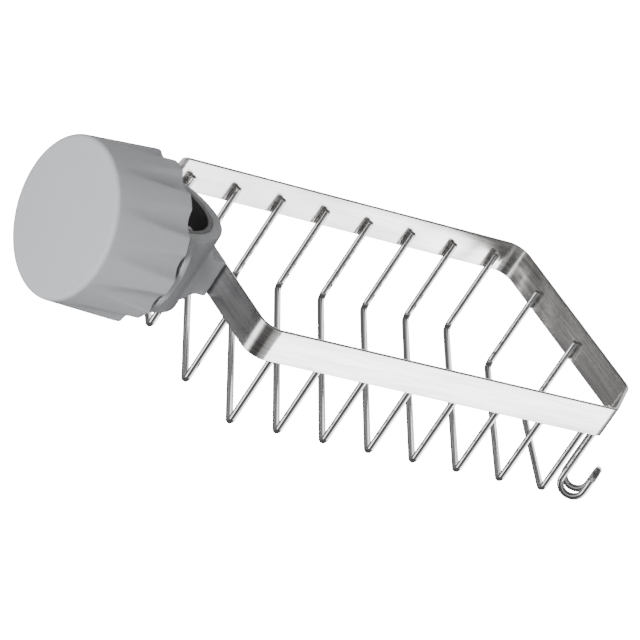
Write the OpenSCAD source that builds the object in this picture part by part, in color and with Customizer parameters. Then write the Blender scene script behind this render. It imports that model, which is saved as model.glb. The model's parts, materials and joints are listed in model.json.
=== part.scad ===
// Wire soap rack with a screw clamp for an upright pipe.
// The origin is on the axis of the thinnest pipe that the clamp holds, at half the height of the clamp.
// +X runs along the rack, away from the knob, and +Z is up.

/* [Basket] */
// Length of the steel band, outside
basket_l = 174; // [160:1:220]
// Width of the steel band, outside
basket_w = 98; // [88:1:130]
// Height of the strip
band_h = 12; // [10:0.5:16]
// Thickness of the strip
band_t = 1.2; // [0.8:0.1:2]
// Outer radius of the two rounded corners
corner_r = 6.5; // [4:0.5:9]
// How far the two cut corners reach along each side
corner_cut = 17; // [14:0.2:20]
// Outer radius of the bends beside a cut corner
cut_bend_r = 6; // [3:0.5:7]

/* [Wires] */
// Diameter of the wire
wire_d = 2.4; // [1.8:0.1:3]
// Depth of the floor wires' centre below the middle of the band
floor_drop = 33; // [24:0.2:50]
// Height of the wires' welded tips above the middle of the band
tip_rise = 1; // [0:0.2:4]
// Radius of the wires' bends, on the centre line
wire_bend_r = 3; // [2:0.2:5]
// Left end of the basket to the first wire on the near side
first_leg = 10.8; // [9:0.2:16]
// Last wire on the near side to the right end of the basket
last_leg = 23.2; // [22:0.2:30]
// The shortest wires' side ends, measured from the basket's middle line
end_leg_offset = 1.4; // [0:0.2:6]
// The second wires' side ends, measured from the basket's middle line
second_leg_offset = 27.4; // [24:0.2:32]

/* [Hook] */
// Distance between the two arms of the hairpin
hook_w = 8; // [7:0.5:10]
// Radius of the curl, on the centre line
hook_r = 4.5; // [3:0.25:6]
// Depth of the curl's lowest centre below the middle of the band
hook_drop = 31.6; // [20:0.2:32]
// Height of the curl's outer arm, from its lowest centre to its tip
hook_rise = 12.2; // [11:0.2:18]
// End of the corner's bend to the hairpin's first arm, along the cut corner
hook_start = 1; // [0.6:0.2:6]

/* [Clamp body] */
// Thinnest pipe that the clamp holds
pipe_min_d = 18; // [16:0.5:20]
// Thickest pipe that the clamp holds
pipe_max_d = 30.8; // [28:0.2:34]
// Thickness of the rubber lining
liner_t = 1.5; // [1:0.1:2]
// Wall of the half-round nose
nose_wall = 3.9; // [3:0.1:5]
// Height of the nose, the collar and the neck
clamp_h = 29.6; // [26:0.2:31]
// How far the collar stands out beyond the thread's core
collar_reach = 3.9; // [3.6:0.1:6]
// Thickness of the collar's rim
collar_t = 2.5; // [2:0.1:4]
// Length of the threaded neck
neck_l = 25; // [22:0.5:26]
// Core diameter of the neck's thread
neck_d = 43.8; // [43:0.1:46]
// Thread height, which the knob's bore leaves free around the neck's core
thread_h = 0.8; // [0.6:0.1:0.8]
// Space left between the nose and the band
block_t = 1.2; // [1:0.1:4]
// Width of the block that carries the band
block_w = 33; // [30:0.5:36]
// How far the block stands above and below the band
block_lip = 1; // [0.5:0.1:1.5]

/* [Knob] */
// Length of the knob
knob_l = 29.4; // [27:0.1:30]
// Wall of the knob around its thread, at the face
knob_wall = 4.2; // [3.8:0.1:5]
// How much wider the knob is across its open rim than across its face
knob_flare = 3; // [2:0.1:4]
// Gap between the knob's rim and the collar
knob_gap = 2; // [1.6:0.1:4]
// Number of flutes
flute_count = 12; // [8:1:14]
// Depth of a flute at the rim
flute_depth = 2.3; // [1.5:0.1:2.4]
// Radius of a flute's hollow
flute_r = 5.5; // [4.5:0.1:7]
// Length of a flute's straight part, from the rim to its round end
flute_l = 20.5; // [16:0.5:23]
// Thickness of the knob's end wall
knob_end_t = 3; // [2.5:0.1:3.5]
// Fillet around the knob's face
knob_fillet = 2; // [1:0.1:3]

/* [Pressure shoe] */
// Height of the shoe
shoe_h = 28; // [24:0.2:29]
// Thickness of the shoe's rubber pad
pad_t = 1.5; // [1:0.1:2]
// Reach of the shoe's two tips beyond the bottom of its groove
shoe_reach = 7; // [6:0.1:8]
// Width across the groove's mouth, between the tips
shoe_mouth = 23; // [21:0.2:24]
// Width of the shoe across its tips
tip_w = 27.2; // [26:0.1:27.4]
// Wall of the shoe's web and cheeks
shoe_wall = 2.4; // [2:0.1:3]
// Length of the cheeks that slide in the neck
cheek_l = 9; // [8:0.2:11]
// Diameter of the shoe's stem
stem_d = 10; // [9:0.2:12]
// Diameter of the stem's journal in the knob's hub
journal_d = 8; // [7:0.2:8.6]
// Outer diameter of the knob's hub
hub_d = 16; // [14:0.2:18]
// Length of the hub
hub_l = 9; // [8:0.2:10]
// Depth of the four hollows in the shoe's back
pocket_depth = 3.5; // [2.5:0.1:4]
// How far the cheeks reach forward of the web
cheek_step = 1; // [0.6:0.1:2]

/* [Hidden] */

// Finish colours
steel_colour = [0.80, 0.80, 0.79];
wire_colour = [0.72, 0.73, 0.75];
plastic_colour = [0.60, 0.61, 0.62];
rubber_colour = [0.16, 0.16, 0.17];

// Roundness, running clearances and the overrun of every cut
$fn = 96;
wire_fn = 24;
over = 1;
slide_gap = 0.3;
running_gap = 0.08;

// Places along X, from the pipe's axis
pipe_r = pipe_min_d / 2;
liner_r = pipe_max_d / 2;
bore_r = liner_r + liner_t;
nose_r = bore_r + nose_wall;
nose_x = pipe_r - liner_r;
collar_inset = 1.2;
collar_x = nose_x - collar_inset;
basket_x = nose_x + nose_r + block_t;
rim_x = collar_x - knob_gap;
face_x = rim_x - knob_l;
cavity_x = face_x + knob_end_t;

// Diameters around the neck's thread
collar_d = neck_d + 2 * collar_reach;
thread_d = neck_d + 2 * thread_h;
knob_face_d = thread_d + 2 * knob_wall;
knob_rim_d = knob_face_d + knob_flare;

// Plan of the band: each corner's centre, outer radius and the two directions that bound its bend
inner_x = basket_x + band_t;
far_x = basket_x + basket_l;
half_w = basket_w / 2;
cut_inset = cut_bend_r * tan(45 / 2);
near_corner = [basket_x + corner_r, -half_w + corner_r];
side_bend = [far_x - cut_bend_r, -half_w + corner_cut + cut_inset];
long_bend = [far_x - corner_cut - cut_inset, -half_w + cut_bend_r];
band_corners = [
    [near_corner, corner_r, 180, 270],
    [long_bend, cut_bend_r, 270, 315],
    [side_bend, cut_bend_r, 315, 360],
    [turned(near_corner), corner_r, 0, 90],
    [turned(long_bend), cut_bend_r, 90, 135],
    [turned(side_bend), cut_bend_r, 135, 180],
];

// Places of the wires' legs, on the inside of the band
wire_r = wire_d / 2;
wire_count = 10;
side_wires = 2;
leg_y = half_w - band_t - wire_r;
left_leg_x = inner_x + wire_r;
near_span = basket_l - first_leg - last_leg;
wire_pitch = near_span / (wire_count - side_wires - 1);

// Block, screws and the fillets around them
block_h = band_h + 2 * block_lip;
block_back = 9;
block_round = 1.2;
block_fillet = 3;
screw_y = 9;
screw_d = 3;
screw_l = 7.5;
screw_head_d = 6.4;
screw_head_h = 2;
screw_hole_d = 3.4;
cross_w = 0.9;
cross_l = 3.6;
cross_depth = 1.1;
collar_blend_r = (collar_d - block_w) / 2;
slot_w = pipe_max_d + 2 * slide_gap;
neck_chamfer = 0.8;

// Shoe and its snap joint in the knob's hub
groove_angle = 60;
groove_overlap = 3;
cheek_w = slot_w - 2 * slide_gap;
web_x = -pipe_r - pad_t - shoe_wall;
pocket_x = web_x + pocket_depth;
pocket_y = 8.5;
cheek_front = web_x + shoe_wall + cheek_step;
hub_x = cavity_x + hub_l;
thrust_gap = 0.1;
flange_t = 2;
flange_inset = 0.5;
flange_d = hub_d - 2 * flange_inset;
barb_h = 0.7;
barb_l = 1.4;
barb_end = 1.2;
journal_l = 7;
rib_t = 2;

// A point turned half a turn about the basket's centre
function turned(p) = [2 * basket_x + basket_l - p[0], -p[1]];
// A point on a corner's arc
function on_arc(c, r, a) = [c[0] + r * cos(a), c[1] + r * sin(a)];
// Near and far ends of the floor wires, counted from the left
function near_leg_x(i) = basket_x + first_leg + (i - side_wires - 1) * wire_pitch;
function far_leg_x(i) = 2 * basket_x + basket_l - near_leg_x(wire_count + 1 - i);
function side_leg_y(i) = i == 1 ? end_leg_offset : -second_leg_offset;
function near_end(i) = i > side_wires ? [near_leg_x(i), -leg_y] : [left_leg_x, side_leg_y(i)];
function far_end(i) = i <= wire_count - side_wires ? [far_leg_x(i), leg_y]
    : turned([left_leg_x, side_leg_y(wire_count + 1 - i)]);

// Filled plan of the band, set in from its outer face
module band_plan(inset) {
    polygon([for (c = band_corners, a = [c[2], c[3]]) on_arc(c[0], c[1] - inset, a)]);
    for (c = band_corners)
        translate(c[0]) circle(r = c[1] - inset);
}

// Two places for the screws
module at_screws() {
    for (side = [-1, 1])
        translate([basket_x, side * screw_y, 0]) rotate([0, 90, 0]) children();
}

module frame_band() {
    color(steel_colour) difference() {
        linear_extrude(band_h, center = true) difference() {
            band_plan(0);
            band_plan(band_t);
        }
        at_screws() cylinder(d = screw_hole_d, h = 2 * band_t + over, center = true);
    }
}

// Straight wire, upwards from the local origin
module rod(l) {
    cylinder(d = wire_d, h = l, $fn = wire_fn);
}

// Bend from straight down at the local origin to level along +X
module bend_out(r, a = 90) {
    translate([r, 0, 0]) rotate([90, 0, 0]) rotate([0, 0, 180])
        rotate_extrude(angle = a) translate([r, 0]) circle(d = wire_d, $fn = wire_fn);
}

// Wire from a welded tip down, along the floor and up to the other tip
module u_wire(a, b) {
    run = norm(b - a);
    heading = atan2(b[1] - a[1], b[0] - a[0]);
    leg_l = floor_drop + tip_rise - wire_bend_r;
    color(wire_colour) translate([a[0], a[1], wire_bend_r - floor_drop]) rotate([0, 0, heading]) {
        for (end = [0, 1])
            translate([end * run, 0, 0]) rotate([0, 0, end * 180]) {
                rod(leg_l);
                bend_out(wire_bend_r);
            }
        translate([wire_bend_r, 0, -wire_bend_r]) rotate([0, 90, 0]) rod(run - 2 * wire_bend_r);
    }
}

module wire(i) {
    u_wire(near_end(i), far_end(i));
}

// Hairpin that hangs inside the cut corner and curls outwards below the band
module hairpin_hook() {
    foot = on_arc(long_bend, cut_bend_r - band_t - wire_r, 315);
    curl_z = hook_r - hook_drop;
    arm_l = hook_rise - hook_r - hook_w / 2;
    color(wire_colour) translate([foot[0], foot[1], curl_z]) rotate([0, 0, -45]) {
        for (end = [0, 1])
            translate([0, hook_start + end * hook_w, 0]) {
                rod(tip_rise - curl_z);
                bend_out(hook_r, 180);
                translate([2 * hook_r, 0, 0]) rod(arm_l);
            }
        translate([2 * hook_r, hook_start + hook_w / 2, arm_l]) rotate([90, 0, 90])
            rotate_extrude(angle = 180) translate([hook_w / 2, 0]) circle(d = wire_d, $fn = wire_fn);
    }
}

// Everything within the clamp's height
module clamp_slab(l) {
    translate([-l, -l, -clamp_h / 2]) cube([2 * l, 2 * l, clamp_h]);
}

// Solid of revolution about the knob's axis, from x along +X
module about_x(x) {
    translate([x, 0, 0]) rotate([0, 90, 0]) children();
}

// Nose, before the pipe's way is cut
module nose() {
    linear_extrude(clamp_h, center = true) intersection() {
        translate([nose_x, 0]) circle(r = nose_r);
        translate([collar_x, -nose_r]) square([2 * nose_r, 2 * nose_r]);
    }
}

// Collar with a hollow blend down to the nose
module collar() {
    bell_l = collar_t + collar_blend_r;
    about_x(collar_x) rotate_extrude() difference() {
        square([collar_d / 2, bell_l]);
        translate([collar_d / 2, bell_l]) circle(r = collar_blend_r);
    }
}

// Core of the split threaded neck
module neck() {
    about_x(collar_x - neck_l) cylinder(d1 = neck_d - 2 * neck_chamfer, d2 = neck_d, h = neck_chamfer);
    about_x(collar_x - neck_l + neck_chamfer) cylinder(d = neck_d, h = neck_l - neck_chamfer + over);
}

// Block that carries the band, with hollow fillets up and down to the nose
module band_block() {
    block_x = basket_x - block_back;
    fillet_h = block_h + 2 * block_fillet;
    intersection() {
        translate([block_x, -block_w / 2, -fillet_h / 2]) cube([block_back, block_w, fillet_h]);
        translate([0, block_w / 2 + over, 0]) rotate([90, 0, 0]) linear_extrude(block_w + 2 * over)
            block_side();
        linear_extrude(fillet_h, center = true) block_plan();
    }
}

// The block seen from above, with rounded near and far corners
module block_plan() {
    corner_x = basket_x - block_round;
    translate([nose_x, -block_w / 2]) square([corner_x - nose_x, block_w]);
    translate([nose_x, block_round - block_w / 2]) square([basket_x - nose_x, block_w - 2 * block_round]);
    for (side = [-1, 1])
        translate([corner_x, side * (block_w / 2 - block_round)]) circle(r = block_round);
}

// The block seen from the side, with its fillets
module block_side() {
    round_x = nose_x + nose_r - block_fillet;
    translate([nose_x, -block_h / 2]) square([basket_x - nose_x, block_h]);
    for (side = [-1, 1])
        difference() {
            translate([nose_x, side * (block_h + block_fillet) / 2])
                square([2 * (round_x - nose_x), block_fillet], center = true);
            translate([round_x, side * (block_h / 2 + block_fillet)]) circle(r = block_fillet);
        }
}

// Way of the pipe: the liner's seat in the nose and the slot between the neck's halves
module pipe_way() {
    linear_extrude(clamp_h + 2 * over, center = true) {
        intersection() {
            translate([nose_x, 0]) circle(r = bore_r);
            translate([nose_x, -bore_r]) square([bore_r, 2 * bore_r]);
        }
        translate([face_x, -slot_w / 2]) square([nose_x - face_x + over, slot_w]);
    }
}

module clamp_body() {
    color(plastic_colour) difference() {
        intersection() {
            union() {
                nose();
                collar();
                neck();
                band_block();
            }
            clamp_slab(basket_l);
        }
        pipe_way();
        at_screws() translate([0, 0, band_t - screw_l]) cylinder(d = screw_d, h = screw_l);
    }
}

module nose_liner() {
    color(rubber_colour) linear_extrude(clamp_h, center = true) difference() {
        translate([nose_x, 0]) circle(r = bore_r);
        translate([nose_x, 0]) circle(r = liner_r);
        translate([nose_x - 2 * bore_r, -bore_r]) square(2 * bore_r);
    }
}

// Pan head with a cross recess, and its shank into the block
module band_screws() {
    dome_r = (pow(screw_head_d / 2, 2) + pow(screw_head_h, 2)) / (2 * screw_head_h);
    color(steel_colour) at_screws() {
        translate([0, 0, band_t - screw_l]) cylinder(d = screw_d, h = screw_l + over / 2);
        translate([0, 0, band_t]) difference() {
            intersection() {
                cylinder(d = screw_head_d, h = screw_head_h);
                translate([0, 0, screw_head_h - dome_r]) sphere(r = dome_r);
            }
            for (turn = [0, 90])
                rotate([0, 0, turn]) translate([-cross_l / 2, -cross_w / 2, screw_head_h - cross_depth])
                    cube([cross_l, cross_w, cross_depth + over]);
        }
    }
}

// Half section of the knob's outside: radius along X, length along Y from the face
module knob_section() {
    face_r = knob_face_d / 2;
    polygon([[0, 0], [face_r - knob_fillet, 0], [face_r, knob_fillet], [knob_rim_d / 2, knob_l], [0, knob_l]]);
    translate([face_r - knob_fillet, knob_fillet]) circle(r = knob_fillet);
}

// One flute, full depth at the rim, with a round end near the face
module flute() {
    translate([0, 0, knob_rim_d / 2 - flute_depth + flute_r]) rotate([0, -90, 0]) {
        translate([0, 0, -over]) cylinder(r = flute_r, h = flute_l + over);
        translate([0, 0, flute_l]) sphere(r = flute_r);
    }
}

// Hub with the snap groove for the shoe's journal
module hub() {
    groove_z = hub_l - journal_l + barb_end;
    difference() {
        cylinder(d = hub_d, h = hub_l);
        translate([0, 0, hub_l - journal_l - thrust_gap])
            cylinder(d = journal_d + 2 * running_gap, h = journal_l + over);
        translate([0, 0, groove_z])
            cylinder(d = journal_d + 2 * (barb_h + running_gap), h = barb_l + 2 * thrust_gap);
    }
}

module hand_knob() {
    color(plastic_colour) {
        difference() {
            about_x(face_x) rotate_extrude() knob_section();
            about_x(cavity_x) cylinder(d = thread_d, h = knob_l);
            for (k = [0 : flute_count - 1])
                rotate([(k + 1 / 2) * 360 / flute_count, 0, 0]) translate([rim_x, 0, 0]) flute();
        }
        about_x(cavity_x) hub();
    }
}

// Space in front of the shoe: the groove for the pipe and the slopes out to the tips
module shoe_space() {
    edge = [-pipe_r * cos(groove_angle), pipe_r * sin(groove_angle)];
    tip = [shoe_reach - pipe_r, shoe_mouth / 2];
    inside = edge - groove_overlap * (tip - edge) / norm(tip - edge);
    circle(r = pipe_r);
    polygon([
        [inside[0], -inside[1]], [tip[0], -tip[1]], [pipe_r, -tip[1]],
        [pipe_r, tip[1]], tip, inside,
    ]);
}

// Plan of the shoe, open at its back
module shoe_plan() {
    back_x = cheek_front - cheek_l;
    difference() {
        union() {
            translate([back_x, -cheek_w / 2]) square([cheek_l, cheek_w]);
            translate([cheek_front - over, -tip_w / 2])
                square([shoe_reach - pipe_r - cheek_front + over, tip_w]);
        }
        translate([-pad_t, 0]) shoe_space();
        translate([back_x - over, shoe_wall - cheek_w / 2])
            square([web_x - back_x + over, cheek_w - 2 * shoe_wall]);
        for (side = [-1, 1])
            translate([web_x, side * pocket_y - rib_t]) square([pocket_x - web_x, 2 * rib_t]);
    }
}

module pressure_shoe() {
    stem_x = hub_x + thrust_gap + flange_t;
    color(plastic_colour) {
        linear_extrude(shoe_h, center = true) shoe_plan();
        about_x(stem_x - over) cylinder(d = stem_d, h = web_x - stem_x + 2 * over);
        about_x(hub_x + thrust_gap) cylinder(d = flange_d, h = flange_t);
        about_x(hub_x - journal_l + thrust_gap) cylinder(d = journal_d, h = journal_l + over);
        about_x(hub_x - journal_l + thrust_gap + barb_end) cylinder(d = journal_d + 2 * barb_h, h = barb_l);
        for (turn = [0, 90])
            rotate([turn, 0, 0]) translate([web_x - cheek_l / 2, -shoe_h / 2 + shoe_wall, -rib_t / 2])
                cube([cheek_l / 2 + over, shoe_h - 2 * shoe_wall, rib_t]);
    }
}

module shoe_pad() {
    color(rubber_colour) linear_extrude(shoe_h, center = true) difference() {
        intersection() {
            translate([-pad_t, 0]) shoe_space();
            translate([-pipe_r - pad_t, -shoe_mouth / 2]) square([shoe_reach, shoe_mouth]);
        }
        shoe_space();
    }
}

frame_band();
wire(1);  // wire_01
wire(2);  // wire_02
wire(3);  // wire_03
wire(4);  // wire_04
wire(5);  // wire_05
wire(6);  // wire_06
wire(7);  // wire_07
wire(8);  // wire_08
wire(9);  // wire_09
wire(10);  // wire_10
hairpin_hook();
clamp_body();
nose_liner();
band_screws();
hand_knob();
pressure_shoe();
shoe_pad();
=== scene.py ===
import json
import math

import bmesh
import bpy
from mathutils import Matrix, Quaternion, Vector


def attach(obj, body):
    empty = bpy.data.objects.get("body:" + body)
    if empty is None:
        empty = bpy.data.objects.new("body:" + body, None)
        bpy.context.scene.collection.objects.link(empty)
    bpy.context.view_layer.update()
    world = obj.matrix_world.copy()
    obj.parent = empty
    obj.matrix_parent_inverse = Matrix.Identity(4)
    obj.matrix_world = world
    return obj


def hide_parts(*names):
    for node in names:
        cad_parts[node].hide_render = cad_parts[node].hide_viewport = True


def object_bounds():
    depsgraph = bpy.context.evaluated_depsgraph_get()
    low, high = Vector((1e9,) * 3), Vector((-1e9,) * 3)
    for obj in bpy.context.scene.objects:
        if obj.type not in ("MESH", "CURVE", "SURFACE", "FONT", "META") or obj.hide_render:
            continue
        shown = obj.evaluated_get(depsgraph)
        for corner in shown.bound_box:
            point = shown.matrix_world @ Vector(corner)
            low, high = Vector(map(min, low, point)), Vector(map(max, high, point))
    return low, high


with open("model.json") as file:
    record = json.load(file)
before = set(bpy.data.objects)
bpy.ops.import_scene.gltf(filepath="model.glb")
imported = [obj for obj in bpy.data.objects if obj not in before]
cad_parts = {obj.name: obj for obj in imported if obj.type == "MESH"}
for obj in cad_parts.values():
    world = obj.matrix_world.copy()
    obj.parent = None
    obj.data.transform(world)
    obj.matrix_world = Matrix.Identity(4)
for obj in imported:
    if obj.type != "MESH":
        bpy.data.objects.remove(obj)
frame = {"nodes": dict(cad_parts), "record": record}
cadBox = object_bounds()
nodes = frame["nodes"]
mm = 0.001
print("frame loaded:", len(nodes), "nodes")

# The camera stands off to the near left, looks down on the rack and is rolled as in the photograph
cameraSetup = {
    "place": (-0.85297, -0.96544, 0.54294),
    "aim": (0.04519, -0.03562, 0.00560),
    "roll": 33.72,                      # degrees, anticlockwise
    "lens": 245.00,                     # millimetres, on a 36 mm sensor
}


def makeCamera(setup):
    data = bpy.data.cameras.new("camera")
    data.lens = setup["lens"]
    data.sensor_width = 36
    data.clip_start, data.clip_end = 0.01, 50
    camera = bpy.data.objects.new("camera", data)
    bpy.context.scene.collection.objects.link(camera)
    camera.rotation_mode = "QUATERNION"
    camera.location = setup["place"]
    look = Vector(setup["aim"]) - Vector(setup["place"])
    roll = Quaternion((0, 0, 1), math.radians(setup["roll"]))
    camera.rotation_quaternion = look.to_track_quat("-Z", "Y") @ roll
    bpy.context.scene.camera = camera


makeCamera(cameraSetup)


# Shader sums are written as plain expressions on wrapped sockets
class Value:
    def __init__(self, look, socket):
        self.look, self.socket = look, socket

    def sum(self, operation, *others):
        inputs = {i: v for i, v in enumerate(others)}
        return self.look.node("ShaderNodeMath", {"operation": operation}, inputs)

    def __add__(self, other): return self.sum("ADD", self, other)
    def __radd__(self, other): return self.sum("ADD", other, self)
    def __sub__(self, other): return self.sum("SUBTRACT", self, other)
    def __rsub__(self, other): return self.sum("SUBTRACT", other, self)
    def __mul__(self, other): return self.sum("MULTIPLY", self, other)
    def __rmul__(self, other): return self.sum("MULTIPLY", other, self)


class Look:
    def __init__(self, name, world=False):
        kind = bpy.data.worlds if world else bpy.data.materials
        self.material = kind.new(name)
        self.material.use_nodes = True
        self.tree = self.material.node_tree
        self.shader = self.tree.nodes["Background" if world else "Principled BSDF"]

    # Any node: its settings first, then the values or links of its inputs
    def node(self, kind, settings=None, inputs=None, output=0):
        made = self.tree.nodes.new(kind)
        for key, value in (settings or {}).items():
            if key == "stops":
                ramp = made.color_ramp.elements
                ramp.remove(ramp[1])
                for place, tone in value:
                    stop = ramp.new(place) if place else ramp[0]
                    stop.color = (tone, tone, tone, 1)
            else:
                setattr(made, key, value)
        for key, value in (inputs or {}).items():
            self.feed(made.inputs[key], value)
        return Value(self, made.outputs[output])

    def feed(self, socket, value):
        if isinstance(value, Value):
            self.tree.links.new(value.socket, socket)
        else:
            socket.default_value = value

    def set(self, **values):
        for key, value in values.items():
            self.feed(self.shader.inputs[key.replace("_", " ")], value)

    def place(self, stretch=(1, 1, 1)):
        coords = self.node("ShaderNodeTexCoord", output="Object")
        return self.node("ShaderNodeMapping", {}, {"Vector": coords, "Scale": stretch})

    def noise(self, scale, detail=2, rough=0.5, stretch=(1, 1, 1)):
        inputs = {"Vector": self.place(stretch), "Scale": scale, "Detail": detail}
        inputs["Roughness"] = rough
        return self.node("ShaderNodeTexNoise", {}, inputs)

    def axes(self, vector):
        split = self.node("ShaderNodeSeparateXYZ", {}, {0: vector})
        return [Value(self, out) for out in split.socket.node.outputs]

    def blend(self, amount, low, high):
        low = low if isinstance(low, Value) else (*low, 1)
        inputs = {0: amount, 6: low, 7: (*high, 1)}
        return self.node("ShaderNodeMix", {"data_type": "RGBA"}, inputs, output=2)

    def spread(self, value, low, high, newLow, newHigh):
        inputs = {0: value, 1: low, 2: high, 3: newLow, 4: newHigh}
        return self.node("ShaderNodeMapRange", {}, inputs)

    # Goes smoothly from one tone to another as a value passes from start to end
    def fade(self, value, start, end, low, high):
        smooth = {"interpolation_type": "SMOOTHSTEP"}
        share = self.node("ShaderNodeMapRange", smooth, {0: value, 1: start, 2: end})
        return share * high + (1 - share) * low

    def bump(self, height, strength, distance):
        inputs = {"Height": height, "Strength": strength, "Distance": distance}
        return self.node("ShaderNodeBump", {}, inputs)


steelFinish = {
    "light": (0.95, 0.935, 0.92),
    "dark": (0.62, 0.605, 0.60),
    "edgeShade": (0.30, 0.288, 0.280),    # painted shade on the rounded edges above and below, darker than the steel
    "edgeShadeFrom": 5.78 * mm,               # above or below the strip's middle
    "edgeShadeTo": 5.92 * mm,
    "streakLength": 22 * mm,            # along the strip
    "streakWidth": 0.40 * mm,           # across it
    "fineShare": 0.65,                  # the rest is the broad shading
    "roughness": (0.22, 0.27),
    "depth": 0.015 * mm,
    "stretch": 0.6,                     # of the highlights, across the brushing
}


def brushedSteel(spec):
    look = Look("brushed steel")
    along, across = 1 / spec["streakLength"], 1 / spec["streakWidth"]
    fine = look.noise(1, 3, 0.6, (along, along, across))
    broad = look.noise(1, 2, 0.5, (along / 2, along / 2, across / 7))
    streak = fine * spec["fineShare"] + broad * (1 - spec["fineShare"])
    brushed = look.blend(look.spread(streak, 0.38, 0.62, 0, 1), spec["dark"], spec["light"])
    height = look.node("ShaderNodeMath", {"operation": "ABSOLUTE"}, {0: look.axes(look.place())[2]})
    # A band of painted shade darkens the base colour along the strip's top and bottom edges
    shadedEdge = look.spread(height, spec["edgeShadeFrom"], spec["edgeShadeTo"], 0, 1)
    look.set(
        Base_Color=look.blend(shadedEdge, brushed, spec["edgeShade"]),
        Roughness=look.spread(streak, 0.35, 0.65, *spec["roughness"]),
        Normal=look.bump(streak, 1.0, spec["depth"]),
        Metallic=1.0,
        Anisotropic=spec["stretch"],
        Anisotropic_Rotation=0.25,
    )
    return look.material


wireFinish = {
    "colour": (0.90, 0.895, 0.89),
    "shade": (0.74, 0.74, 0.74),
    "roughness": (0.06, 0.10),
    "drawn": 240,                       # cloudiness, per metre
    "grain": 1800,
    "grainDepth": 0.05 * mm,
}


def polishedWire(spec):
    look = Look("polished wire")
    drawn = look.noise(spec["drawn"])
    look.set(
        Base_Color=look.blend(drawn, spec["shade"], spec["colour"]),
        Roughness=look.spread(drawn, 0.3, 0.7, *spec["roughness"]),
        Metallic=1.0,
        Normal=look.bump(look.noise(spec["grain"]), 0.05, spec["grainDepth"]),
    )
    return look.material


plasticFinish = {
    "colour": (0.310, 0.317, 0.333),
    "shade": (0.290, 0.297, 0.312),
    "roughness": (0.50, 0.58),
    "shine": 0.18,
    "cloud": 90,
    "grain": 3600,
    "grainDepth": 0.02 * mm,
}


def greyPlastic(spec):
    look = Look("grey plastic")
    cloud = look.noise(spec["cloud"], 3, 0.55)
    grain = look.noise(spec["grain"], 2, 0.6)
    look.set(
        Base_Color=look.blend(cloud, spec["shade"], spec["colour"]),
        Roughness=look.spread(cloud, 0.3, 0.7, *spec["roughness"]),
        Normal=look.bump(grain, 0.12, spec["grainDepth"]),
        Specular_IOR_Level=spec["shine"],
    )
    return look.material


rubberFinish = {
    "colour": (0.165, 0.160, 0.162),
    "shade": (0.138, 0.134, 0.136),
    "roughness": (0.62, 0.78),
    "cloud": 300,
    "grain": 4000,
    "grainDepth": 0.05 * mm,
}


def darkRubber(spec):
    look = Look("dark rubber")
    cloud = look.noise(spec["cloud"], 3, 0.6)
    grain = look.noise(spec["grain"], 2, 0.6)
    look.set(
        Base_Color=look.blend(cloud, spec["shade"], spec["colour"]),
        Roughness=look.spread(cloud, 0.3, 0.7, *spec["roughness"]),
        Normal=look.bump(grain, 0.15, spec["grainDepth"]),
    )
    return look.material


finishes = {
    "steel_band": brushedSteel(steelFinish),
    "steel_wire": polishedWire(wireFinish),
    "grey_plastic": greyPlastic(plasticFinish),
    "dark_rubber": darkRubber(rubberFinish),
}
print("finishes made:", len(finishes))

record = frame["record"]
slots = {part["node"]: part["material_slot"] for part in record["subparts"]}
bodies = {node: body for body, held in record["behaviour"]["bodies"].items() for node in held}
for node, slot in slots.items():
    nodes[node].data.materials.clear()
    nodes[node].data.materials.append(finishes[slot])


# A finished mesh becomes a piece that rides with the node it stands for, or with the one it sits on
def addPiece(shape, name, near, stands=(), smooth=math.radians(35)):
    mesh = bpy.data.meshes.new(name)
    shape.to_mesh(mesh)
    shape.free()
    mesh.shade_smooth()
    mesh.set_sharp_from_angle(angle=smooth)
    mesh.materials.append(finishes[slots[near]])
    piece = bpy.data.objects.new(name, mesh)
    bpy.context.scene.collection.objects.link(piece)
    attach(piece, bodies[near])
    if stands:
        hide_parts(*stands)
    return piece


def vertsOf(geom):
    return [g for g in geom if isinstance(g, bmesh.types.BMVert)]


def edgesOf(geom):
    return [g for g in geom if isinstance(g, bmesh.types.BMEdge)]


# Carries a ring of edges along straight runs and bends
def sweep(shape, ring, moves):
    for move in moves:
        if "turn" in move:
            made = bmesh.ops.spin(
                shape, geom=ring, cent=move["about"], axis=move["axis"],
                angle=math.radians(move["turn"]), steps=move["steps"], use_duplicate=False)
            ring = edgesOf(made["geom_last"])
        else:
            made = bmesh.ops.extrude_edge_only(shape, edges=ring)
            ends = set(vertsOf(made["geom"]))
            bmesh.ops.translate(shape, verts=list(ends), vec=move["run"])
            ring = [e for e in edgesOf(made["geom"]) if ends.issuperset(e.verts)]
    return ring


band = {
    "near": 15.6 * mm, "length": 174 * mm, "width": 98 * mm,
    "height": 12 * mm, "thick": 1.2 * mm, "edge": 0.35 * mm,
    "corner": 6.5 * mm, "bend": 6 * mm, "cut": 17 * mm,
    "steps": 14,                        # in a square corner
}


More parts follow.
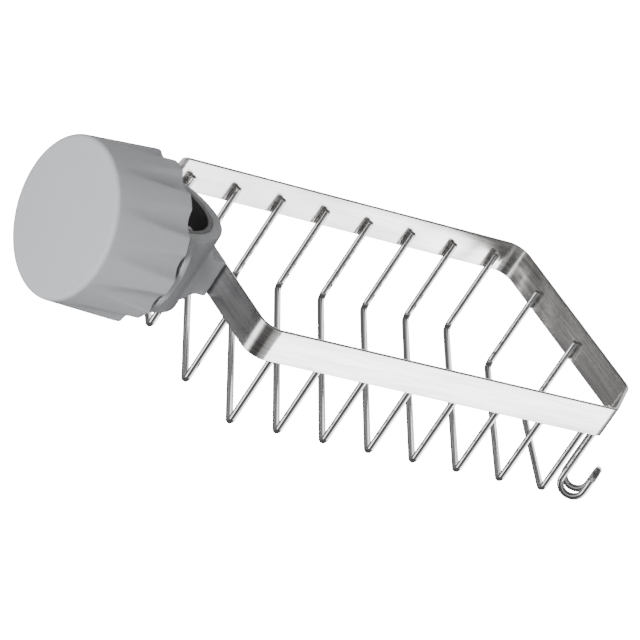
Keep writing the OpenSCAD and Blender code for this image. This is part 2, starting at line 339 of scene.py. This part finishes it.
# The strip starts on the near side and goes round anticlockwise
def bandShape(spec):
    half = spec["width"] / 2
    far = spec["near"] + spec["length"]
    inset = spec["bend"] * math.tan(math.radians(22.5))
    flat = spec["cut"] * math.sqrt(2) - 2 * inset
    start = spec["near"] + spec["length"] / 3
    square = Vector((spec["near"] + spec["corner"], -half + spec["corner"], 0))
    long = Vector((far - spec["cut"] - inset, -half + spec["bend"], 0))
    side = Vector((far - spec["bend"], -half + spec["cut"] + inset, 0))
    middle = Vector((spec["near"] + far, 0, 0))
    shape = bmesh.new()
    bmesh.ops.create_grid(shape, x_segments=1, y_segments=1, size=0.5)
    bmesh.ops.scale(shape, verts=shape.verts, vec=(spec["thick"], spec["height"], 1))
    bmesh.ops.bevel(
        shape, geom=shape.verts[:], offset=spec["edge"], segments=3, profile=0.5,
        affect="VERTICES", material=-1)
    bmesh.ops.delete(shape, geom=shape.faces[:], context="FACES_ONLY")
    bmesh.ops.rotate(shape, verts=shape.verts, matrix=Matrix(((0, 0, 1), (1, 0, 0), (0, 1, 0))))
    bmesh.ops.translate(shape, verts=shape.verts, vec=(start, -half + spec["thick"] / 2, 0))
    up = (0, 0, 1)
    slope = Vector((1, 1, 0)).normalized()
    eighth = {"axis": up, "turn": 45, "steps": spec["steps"] // 2}
    quarter = {"axis": up, "turn": 90, "steps": spec["steps"]}
    sweep(shape, shape.edges[:], [
        {"run": (long.x - start, 0, 0)},
        {"about": long, **eighth},
        {"run": slope * flat},
        {"about": side, **eighth},
        {"run": (0, -square.y - side.y, 0)},
        {"about": middle - square, **quarter},
        {"run": (square.x - long.x, 0, 0)},
        {"about": middle - long, **eighth},
        {"run": slope * -flat},
        {"about": middle - side, **eighth},
        {"run": (0, square.y + side.y, 0)},
        {"about": square, **quarter},
        {"run": (start - square.x, 0, 0)},
    ])
    bmesh.ops.remove_doubles(shape, verts=shape.verts, dist=0.01 * mm)
    bmesh.ops.recalc_face_normals(shape, faces=shape.faces)
    return shape


addPiece(bandShape(band), "rimBand", "frame_band", ["frame_band"])
print("rim band bent")

wire = {
    "thick": 2.4 * mm, "sides": 20, "tip": 1 * mm, "drop": 33 * mm, "bend": 3 * mm,
    "first": 10.8 * mm, "pitch": 20 * mm, "end": 1.4 * mm, "second": -27.4 * mm,
    "tipRound": 0.5 * mm, "steps": 8,
}
hook = {
    "width": 8 * mm, "bend": 4.5 * mm, "drop": 31.6 * mm, "rise": 12.2 * mm, "start": 1 * mm,
    "steps": 18,
}


# A ring of wire at the top of its first leg
def wireRing(shape, height):
    bmesh.ops.create_circle(shape, cap_ends=False, radius=wire["thick"] / 2, segments=wire["sides"])
    bmesh.ops.translate(shape, verts=shape.verts, vec=(0, 0, height))
    return shape.edges[:]


def closeTips(shape, rings):
    for ring in rings:
        bmesh.ops.edgeloop_fill(shape, edges=ring)
        bmesh.ops.bevel(
            shape, geom=ring, offset=wire["tipRound"], segments=3, profile=0.5,
            affect="EDGES", material=-1)
    bmesh.ops.recalc_face_normals(shape, faces=shape.faces)


# One floor wire from tip a to tip b, both on the inside of the strip
def floorWire(a, b):
    span = (b - a).length
    low = wire["bend"] - wire["drop"]
    corner = {"axis": (0, -1, 0), "turn": 90, "steps": wire["steps"]}
    shape = bmesh.new()
    first = wireRing(shape, wire["tip"])
    last = sweep(shape, first, [
        {"run": (0, 0, low - wire["tip"])},
        {"about": (wire["bend"], 0, low), **corner},
        {"run": (span - 2 * wire["bend"], 0, 0)},
        {"about": (span - wire["bend"], 0, low), **corner},
        {"run": (0, 0, wire["tip"] - low)},
    ])
    closeTips(shape, [first, last])
    heading = math.atan2((b - a).y, (b - a).x)
    bmesh.ops.rotate(shape, verts=shape.verts, matrix=Matrix.Rotation(heading, 3, "Z"))
    bmesh.ops.translate(shape, verts=shape.verts, vec=a)
    return shape


def wireEnds():
    inside = band["width"] / 2 - band["thick"] - wire["thick"] / 2
    left = band["near"] + band["thick"] + wire["thick"] / 2
    middle = Vector((2 * band["near"] + band["length"], 0, 0))
    nearTips = [Vector((left, wire["end"], 0)), Vector((left, wire["second"], 0))]
    for count in range(8):
        nearTips.append(Vector((band["near"] + wire["first"] + count * wire["pitch"], -inside, 0)))
    return [(tip, middle - nearTips[9 - count]) for count, tip in enumerate(nearTips)]


for count, (a, b) in enumerate(wireEnds(), 1):
    addPiece(floorWire(a, b), f"floorWire{count:02}", f"wire_{count:02}", [f"wire_{count:02}"])


# The hook is one wire: down, round, up, over the end loop and back
def hookShape(spec):
    inset = band["bend"] * math.tan(math.radians(22.5))
    reach = band["bend"] - band["thick"] - wire["thick"] / 2
    far = band["near"] + band["length"]
    centre = Vector((far - band["cut"] - inset, band["bend"] - band["width"] / 2, 0))
    foot = centre + Vector((reach, -reach, 0)) * math.sqrt(0.5)
    low = spec["bend"] - spec["drop"]
    arm = spec["rise"] - spec["bend"] - spec["width"] / 2
    shape = bmesh.new()
    first = wireRing(shape, wire["tip"])
    half = {"turn": 180, "steps": spec["steps"]}
    curl = {"about": (spec["bend"], 0, low), **half}
    loop = {"about": (0, spec["width"] / 2, low + arm), "axis": (-1, 0, 0), **half}
    last = sweep(shape, first, [
        {"run": (0, 0, low - wire["tip"])},
        {**curl, "axis": (0, -1, 0)},
        {"run": (0, 0, arm)},
        loop,
        {"run": (0, 0, -arm)},
        {**curl, "axis": (0, 1, 0)},
        {"run": (0, 0, wire["tip"] - low)},
    ])
    closeTips(shape, [first, last])
    bmesh.ops.translate(shape, verts=shape.verts, vec=(0, spec["start"], 0))
    bmesh.ops.rotate(shape, verts=shape.verts, matrix=Matrix.Rotation(math.radians(-45), 3, "Z"))
    bmesh.ops.translate(shape, verts=shape.verts, vec=foot)
    return shape


addPiece(hookShape(hook), "hairpinWire", "hairpin_hook", ["hairpin_hook"])
print("wires bent:", len(wireEnds()) + 1)

knob = {
    "face": -39 * mm, "length": 29.4 * mm, "faceRadius": 26.9 * mm, "rimRadius": 28.4 * mm,
    "edge": 1.5 * mm, "rimEdge": 0.4 * mm, "bore": 22.7 * mm, "wall": 3 * mm,
    "hub": 8 * mm, "hubLength": 9 * mm, "hubBore": 4.2 * mm, "hubFloor": 1.9 * mm,
    "flutes": 12, "fluteDepth": 2.3 * mm, "fluteRadius": 6.0 * mm, "fluteLength": 24 * mm,
    "soft": 0.2 * mm, "steps": 288, "cuts": 48,
}


# The knob is turned from half a section, then scooped
def knobShape(spec):
    rim = spec["face"] + spec["length"]
    floor = spec["face"] + spec["wall"]
    hubEnd = floor + spec["hubLength"]
    hubFloor = floor + spec["hubFloor"]
    section = [
        (spec["face"], 0), (spec["face"], spec["faceRadius"]), (rim, spec["rimRadius"]),
        (rim, spec["bore"]), (floor, spec["bore"]), (floor, spec["hub"]), (hubEnd, spec["hub"]),
        (hubEnd, spec["hubBore"]), (hubFloor, spec["hubBore"]), (hubFloor, 0),
    ]
    rounds = {1: spec["edge"], 4: spec["edge"] / 2, 5: spec["edge"] / 3}
    rounds.update({corner: spec["rimEdge"] for corner in (2, 3, 6, 7)})
    shape = bmesh.new()
    shape.faces.new([shape.verts.new((x, 0, r)) for x, r in section])
    for corner, size in sorted(rounds.items()):
        x, r = section[corner]
        nearest = min(shape.verts, key=lambda v: (v.co - Vector((x, 0, r))).length)
        bmesh.ops.bevel(
            shape, geom=[nearest], offset=size, segments=6, profile=0.5,
            affect="VERTICES", material=-1)
    bmesh.ops.delete(shape, geom=shape.faces[:], context="FACES_ONLY")
    axis = [e for e in shape.edges if all(v.co.z < mm / 10 for v in e.verts)]
    bmesh.ops.delete(shape, geom=axis, context="EDGES")
    flank = max(shape.edges, key=lambda e: sum(v.co.z for v in e.verts) + e.calc_length())
    bmesh.ops.subdivide_edges(shape, edges=[flank], cuts=spec["cuts"])
    bmesh.ops.spin(
        shape, geom=shape.verts[:] + shape.edges[:], cent=(0, 0, 0), axis=(1, 0, 0),
        angle=math.tau, steps=spec["steps"], use_merge=True)
    bmesh.ops.remove_doubles(shape, verts=shape.verts, dist=0.001 * mm)
    for vert in shape.verts:
        scoop(vert, spec, rim)
    bmesh.ops.recalc_face_normals(shape, faces=shape.faces)
    return shape


# Twelve flutes with soft shoulders, full depth at the rim and running out to a point near the face
def scoop(vert, spec, rim):
    radius = math.hypot(vert.co.y, vert.co.z)
    if radius < spec["bore"] + spec["rimEdge"] * 1.5 or vert.co.x > rim + mm:
        return
    pitch = math.tau / spec["flutes"]
    off = (math.atan2(vert.co.y, vert.co.z) % pitch) - pitch / 2
    taper = (spec["rimRadius"] - spec["faceRadius"]) / spec["length"]
    lean = spec["fluteDepth"] / spec["fluteLength"] - taper
    cutter = spec["rimRadius"] - spec["fluteDepth"] + spec["fluteRadius"] + lean * (rim - vert.co.x)
    ball = spec["fluteRadius"] ** 2 - (cutter * math.sin(off)) ** 2
    if ball <= 0:
        return
    reach = cutter * math.cos(off) - math.sqrt(ball)
    gap = (reach - radius) / spec["soft"]
    moved = min(reach, radius) - spec["soft"] * math.log(1 + math.exp(-abs(gap)))
    if gap > 0:
        moved = radius - spec["soft"] * math.log(1 + math.exp(-gap))
    vert.co.y *= moved / radius
    vert.co.z *= moved / radius


addPiece(knobShape(knob), "flutedKnob", "hand_knob", ["hand_knob"])
print("knob turned and fluted")

thread = {
    "pitch": 3.5 * mm, "foot": 0.95 * mm, "crest": 0.30 * mm, "height": 0.4 * mm, "sunk": 0.1 * mm,
    "neck": 21.9 * mm, "neckStart": -31 * mm, "neckTurns": 6, "neckArc": 82,
    "bore": 22.75 * mm, "boreStart": -34.5 * mm, "boreTurns": 6.6,
    "steps": 60,                        # in a full turn
}


# One stretch of a right-hand ridge about the knob's axis
def addRidge(shape, start, angle, turn, radius, height):
    foot, crest = thread["foot"], thread["crest"]
    sides = ((-foot, 0), (-crest, height), (crest, height), (foot, 0))
    sunk = math.copysign(thread["sunk"], height)
    ends = [shape.verts.new((start + x, 0, radius + (r or -sunk))) for x, r in sides]
    face = shape.faces.new(ends)
    bmesh.ops.rotate(shape, verts=ends, matrix=Matrix.Rotation(angle, 3, "X"))
    steps = max(2, round(thread["steps"] * turn / math.tau))
    bmesh.ops.spin(
        shape, geom=[face, *face.edges, *ends], cent=(0, 0, 0), axis=(1, 0, 0), angle=turn,
        steps=steps, dvec=(thread["pitch"] * turn / math.tau / steps, 0, 0))


def neckThread(spec):
    shape = bmesh.new()
    arc = math.radians(spec["neckArc"])
    for half in range(2 * spec["neckTurns"]):
        start = spec["neckStart"] + half * spec["pitch"] / 2
        angle = half * math.pi - math.pi / 2 - arc / 2
        addRidge(shape, start, angle, arc, spec["neck"], spec["height"])
    bmesh.ops.recalc_face_normals(shape, faces=shape.faces)
    return shape


def boreThread(spec):
    shape = bmesh.new()
    turn = spec["boreTurns"] * math.tau
    addRidge(shape, spec["boreStart"], 0, turn, spec["bore"], -spec["height"])
    bmesh.ops.recalc_face_normals(shape, faces=shape.faces)
    return shape


addPiece(neckThread(thread), "neckThread", "clamp_body")
addPiece(boreThread(thread), "boreThread", "hand_knob")
print("threads cut")

moulded = {
    "clamp_body": {"name": "clampMoulding", "voxel": 0.42 * mm, "rounds": 4},
    "pressure_shoe": {"name": "shoeMoulding", "edge": 0.4 * mm},
    "nose_liner": {"name": "noseLining", "edge": 0.25 * mm},
    "shoe_pad": {"name": "shoeLining", "edge": 0.25 * mm},
    "band_screws": {"name": "panScrews", "edge": 0.12 * mm},
}


# A merged copy of a node with its sharp edges softened
def softened(node, spec):
    shape = bmesh.new()
    shape.from_mesh(nodes[node].data)
    bmesh.ops.remove_doubles(shape, verts=shape.verts, dist=0.002 * mm)
    bmesh.ops.dissolve_limit(
        shape, angle_limit=math.radians(0.6), verts=shape.verts, edges=shape.edges)
    piece = addPiece(shape, spec["name"], node, [node])
    if "voxel" in spec:
        skin = piece.modifiers.new("one skin", "REMESH")
        skin.mode, skin.voxel_size, skin.use_smooth_shade = "VOXEL", spec["voxel"], True
        ease = piece.modifiers.new("eased", "SMOOTH")
        ease.factor, ease.iterations = 0.5, spec["rounds"]
    else:
        edge = piece.modifiers.new("soft edges", "BEVEL")
        edge.width, edge.segments, edge.limit_method = spec["edge"], 3, "ANGLE"
        edge.angle_limit, edge.harden_normals = math.radians(34), True


for node, spec in moulded.items():
    softened(node, spec)
print("mouldings softened:", len(moulded))

studio = {
    "floorSize": 6.0,
    "floorColour": (0.86, 0.86, 0.86),
    "floorGlow": 20.0,
    # brightness by direction: 0 is +X, a quarter is +Y
    "lowRing": [
        (0.0, 0.03), (0.128, 0.025), (0.25, 0.03), (0.33, 0.034), (0.42, 0.042), (0.45, 0.55),
        (0.50, 0.55), (0.535, 0.08), (0.57, 0.012), (0.68, 0.012), (0.72, 0.07), (0.80, 0.12),
        (0.93, 0.12), (1.0, 0.04)],
    "highRing": [
        (0.0, 0.08), (0.06, 0.20), (0.085, 0.36), (0.155, 0.40), (0.185, 0.15), (0.21, 0.06),
        (0.25, 0.012), (0.40, 0.012), (0.50, 0.10), (0.80, 0.05), (0.90, 0.02), (1.0, 0.08)],
    "ring": 6.0, "zenith": 0.10, "nadir": 0.10,
}
lights = {
    "key": {"place": (-1.42, -0.55, 0.18), "size": 0.7, "power": 51},
    "top": {"place": (-0.1, -0.6, 1.4), "size": 0.9, "power": 7},
    "side": {"place": (-0.35, -1.3, -0.02), "size": 0.35, "power": 2.8},
    "under": {"place": (-0.5, -0.7, -1.0), "size": 0.9, "power": 5},
    # a tall panel that only the steel shows
    "panel": {
        "place": (2.65, -2.67, -1.50), "size": 1.9, "tall": 2.8, "power": 80, "mirrored": True},
}


def paleFloor(spec):
    shape = bmesh.new()
    bmesh.ops.create_grid(shape, x_segments=1, y_segments=1, size=spec["floorSize"] / 2)
    bmesh.ops.translate(shape, verts=shape.verts, vec=(0, 0, cadBox[0].z))
    mesh = bpy.data.meshes.new("floor")
    shape.to_mesh(mesh)
    shape.free()
    floor = bpy.data.objects.new("floor", mesh)
    bpy.context.scene.collection.objects.link(floor)
    floor.visible_glossy = floor.visible_diffuse = floor.visible_shadow = False
    look = Look("pale floor")
    look.set(
        Base_Color=(*spec["floorColour"], 1),
        Roughness=0.9,
        Emission_Color=(1, 1, 1, 1),
        Emission_Strength=spec["floorGlow"],
    )
    mesh.materials.append(look.material)


def softLight(name, spec, aim):
    data = bpy.data.lights.new(name, "AREA")
    data.shape, data.size, data.energy = "ELLIPSE", spec["size"], spec["power"]
    data.size_y = spec.get("tall", spec["size"])
    light = bpy.data.objects.new(name, data)
    bpy.context.scene.collection.objects.link(light)
    light.location = spec["place"]
    light.rotation_mode = "QUATERNION"
    light.rotation_quaternion = (aim - Vector(spec["place"])).to_track_quat("-Z", "Y")
    light.visible_glossy = spec.get("mirrored", False)
    light.visible_diffuse = not light.visible_glossy


# Soft boxes and dark flags round the table, as the polished wires show them
def studioSky(spec):
    look = Look("studio", world=True)
    x, y, z = look.axes(look.node("ShaderNodeTexCoord", output="Generated"))
    turn = look.node("ShaderNodeMath", {"operation": "ARCTAN2"}, {0: y, 1: x}) * (1 / math.tau)
    turn = look.node("ShaderNodeMath", {"operation": "WRAP"}, {0: turn, 1: 1.0, 2: 0.0})
    low = look.node("ShaderNodeValToRGB", {"stops": spec["lowRing"]}, {"Fac": turn})
    high = look.node("ShaderNodeValToRGB", {"stops": spec["highRing"]}, {"Fac": turn})
    ring = look.fade(z, -0.06, 0.10, low * spec["ring"], high * spec["ring"])
    upper = look.fade(z, 0.45, 0.65, ring, spec["zenith"])
    look.set(Color=look.fade(z, -0.66, -0.80, upper, spec["nadir"]), Strength=1.0)
    bpy.context.scene.world = look.material


paleFloor(studio)
studioSky(studio)
centre = (cadBox[0] + cadBox[1]) / 2
for name, light in lights.items():
    softLight(name, light, centre)
print("studio ready")
